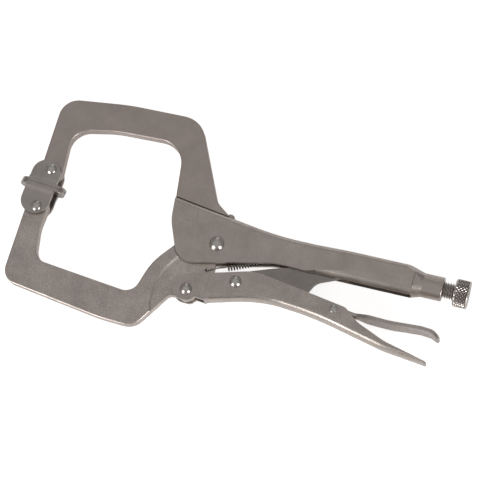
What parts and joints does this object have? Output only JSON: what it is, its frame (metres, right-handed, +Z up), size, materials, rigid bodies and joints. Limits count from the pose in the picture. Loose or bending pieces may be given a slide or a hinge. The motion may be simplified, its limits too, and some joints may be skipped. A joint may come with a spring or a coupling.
{
  "type": "locking c-clamp pliers",
  "caption": "Locking C-clamp pliers: two deep curved jaw arms with swivel pads close over the work and a toggle handle with an adjusting screw and release lever locks them.",
  "frame": {"origin": "on the main pivot's axis, on the table, at the flat underside of the main pivot rivet's head, with the pliers lying flat on one side", "axes": "+X along the adjusting screw towards its knob, +Y across the handles away from the lower handle, +Z up through the thickness of the pliers"},
  "size_m": [0.2849, 0.1368, 0.017],
  "materials": {
    "arm_plate": "nickel plate over tumbled steel plate, satin",
    "handle_sheet": "nickel plate over pressed sheet steel, satin to bright",
    "rivet_steel": "nickel plated, bright",
    "knurled_steel": "nickel plated, diamond knurled",
    "spring_wire": "drawn spring wire, plated"
  },
  "bodies": {
    "frame": {"fixed_handle": "handle_sheet", "upper_jaw_arm": "arm_plate", "arm_weld_bead": "arm_plate", "arm_rivet": "rivet_steel", "main_pivot_rivet": "rivet_steel", "upper_pad_rivet": "rivet_steel", "tension_spring": "spring_wire"},
    "jaw": {"lower_jaw_arm": "arm_plate", "jaw_handle_rivet": "rivet_steel", "lower_pad_rivet": "rivet_steel"},
    "grip": {"lower_handle": "handle_sheet", "link_rivet": "rivet_steel", "release_lever_pin": "rivet_steel"},
    "toggle": {"toggle_link": "arm_plate"},
    "release": {"release_lever": "handle_sheet"},
    "upper_pad": {"upper_swivel_pad": "arm_plate"},
    "lower_pad": {"lower_swivel_pad": "arm_plate"},
    "screw": {"adjusting_screw": "knurled_steel"},
    "knob": {"adjusting_knob": "knurled_steel"}
  },
  "joints": [
    {"name": "handle_pivot", "type": "hinge", "parent": "jaw", "child": "grip", "pos_m": [-0.0106, -0.0314, 0.0085], "axis": [0, 0, -1], "range_deg": [0, 68.5]},
    {"name": "jaw_pivot", "type": "hinge", "parent": "frame", "child": "jaw", "pos_m": [0, 0, 0.0085], "axis": [0, 0, 1], "range_deg": [0, 23.6], "deforming": ["tension_spring"]},
    {"name": "link_pivot", "type": "hinge", "parent": "grip", "child": "toggle", "pos_m": [0.0174, -0.0203, 0.0085], "axis": [0, 0, 1], "range_deg": [0, 69.5]},
    {"name": "release_pivot", "type": "hinge", "parent": "grip", "child": "release", "pos_m": [0.0786, -0.0232, 0.0085], "axis": [0, 0, -1], "range_deg": [0, 6.5]},
    {"name": "upper_pad_swivel", "type": "hinge", "parent": "frame", "child": "upper_pad", "pos_m": [-0.1138, 0.0231, 0.0085], "axis": [0, 0, 1], "range_deg": [0, 11.9]},
    {"name": "lower_pad_swivel", "type": "hinge", "parent": "jaw", "child": "lower_pad", "pos_m": [-0.1158, -0.0019, 0.0085], "axis": [0, 0, -1], "range_deg": [0, 11.9]},
    {"name": "screw_travel", "type": "slide", "parent": "frame", "child": "screw", "axis": [1, 0, 0], "range_m": [0, 0.0293]},
    {"name": "knob_turn", "type": "hinge", "parent": "screw", "child": "knob", "pos_m": [0.144, 0.0047, 0.0085], "axis": [1, 0, 0], "range_deg": [0, 6480]}
  ],
  "couplings": [
    {"joint": "jaw_pivot", "follows": "handle_pivot", "ratio": 0.34355},
    {"joint": "link_pivot", "follows": "handle_pivot", "ratio": 1.0108},
    {"joint": "upper_pad_swivel", "follows": "handle_pivot", "ratio": 0.17178},
    {"joint": "lower_pad_swivel", "follows": "handle_pivot", "ratio": 0.17178},
    {"joint": "screw_travel", "follows": "knob_turn", "m_per_rad": 0.00023873}
  ]
}
